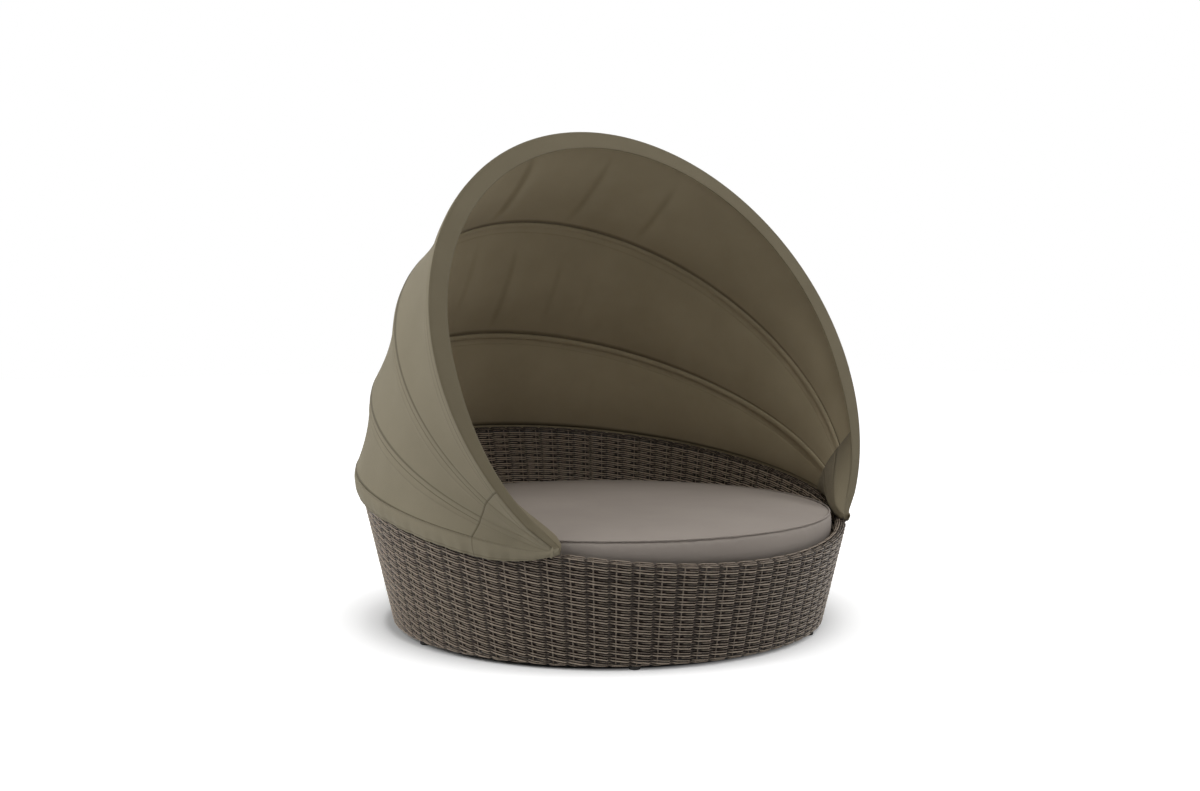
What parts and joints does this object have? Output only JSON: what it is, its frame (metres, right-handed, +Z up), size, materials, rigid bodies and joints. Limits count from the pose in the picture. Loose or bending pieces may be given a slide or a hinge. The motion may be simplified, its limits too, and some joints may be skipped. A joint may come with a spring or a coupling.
{
  "type": "round daybed with folding canopy",
  "caption": "Round woven outdoor daybed with a thick seat cushion and a fabric canopy on folding hoops that tips back to open the seat.",
  "frame": {"origin": "floor level under the centre of the part's bounding box", "axes": "+Z up, -Y towards the open front where a person sits down, +Y towards the high back of the rim, +X to the right as seen from in front"},
  "size_m": [1.7626, 1.7594, 1.7402],
  "materials": {
    "weave": "flat synthetic strips in mixed grey-brown, woven in rows",
    "frame": "dark powder coat, satin",
    "deck": "dark stained outdoor board, matte",
    "cushion": "outdoor weave, matte",
    "cloth": "coated canopy fabric, matte",
    "bow": "powder coat in the canopy's colour, satin",
    "steel": "satin stainless steel",
    "rubber": "matte black",
    "nylon": "matte black"
  },
  "bodies": {
    "base": {"outer_weave": "weave", "inner_weave": "weave", "rim_border": "weave", "rim_tube": "frame", "lower_tube": "frame", "upright_01": "frame", "upright_02": "frame", "upright_03": "frame", "upright_04": "frame", "upright_05": "frame", "upright_06": "frame", "upright_07": "frame", "upright_08": "frame", "upright_09": "frame", "upright_10": "frame", "upright_11": "frame", "upright_12": "frame", "seat_ring": "frame", "seat_rail_1": "frame", "seat_rail_2": "frame", "seat_rail_3": "frame", "seat_rail_4": "frame", "seat_rail_5": "frame", "seat_deck": "deck", "cushion": "cushion", "glide_1": "rubber", "glide_2": "rubber", "glide_3": "rubber", "glide_4": "rubber", "glide_5": "rubber", "glide_6": "rubber", "pivot_tab_left": "frame", "pivot_tab_right": "frame", "pivot_bolt_left": "steel", "pivot_bolt_right": "steel", "cap_nut_left": "steel", "cap_nut_right": "steel", "washer_left_1": "nylon", "washer_left_2": "nylon", "washer_left_3": "nylon", "washer_left_4": "nylon", "washer_right_1": "nylon", "washer_right_2": "nylon", "washer_right_3": "nylon", "washer_right_4": "nylon", "canopy_hem": "cloth", "canopy_corner_left": "cloth", "canopy_corner_right": "cloth"},
    "lower_hoop": {"lower_bow": "bow", "canopy_panel_rear": "cloth"},
    "upper_hoop": {"upper_bow": "bow", "canopy_panel_upper": "cloth"},
    "front_hoop": {"front_bow": "bow", "front_band": "cloth", "canopy_panel_front": "cloth"}
  },
  "joints": [
    {"name": "lower_hoop_fold", "type": "hinge", "parent": "base", "child": "lower_hoop", "pos_m": [0, -0.61447, 0.37418], "axis": [-1, 0, 0], "range_deg": [0, 13.27], "deforming": ["canopy_panel_rear", "canopy_corner_left", "canopy_corner_right"]},
    {"name": "upper_hoop_fold", "type": "hinge", "parent": "lower_hoop", "child": "upper_hoop", "pos_m": [0, -0.61447, 0.37418], "axis": [-1, 0, 0], "range_deg": [0, 17.2], "deforming": ["canopy_panel_upper"]},
    {"name": "front_hoop_fold", "type": "hinge", "parent": "upper_hoop", "child": "front_hoop", "pos_m": [0, -0.61447, 0.37418], "axis": [-1, 0, 0], "range_deg": [0, 16.37], "deforming": ["canopy_panel_front"]}
  ],
  "couplings": [
    {"joint": "upper_hoop_fold", "follows": "front_hoop_fold", "ratio": 1.0507},
    {"joint": "lower_hoop_fold", "follows": "front_hoop_fold", "ratio": 0.8106}
  ]
}
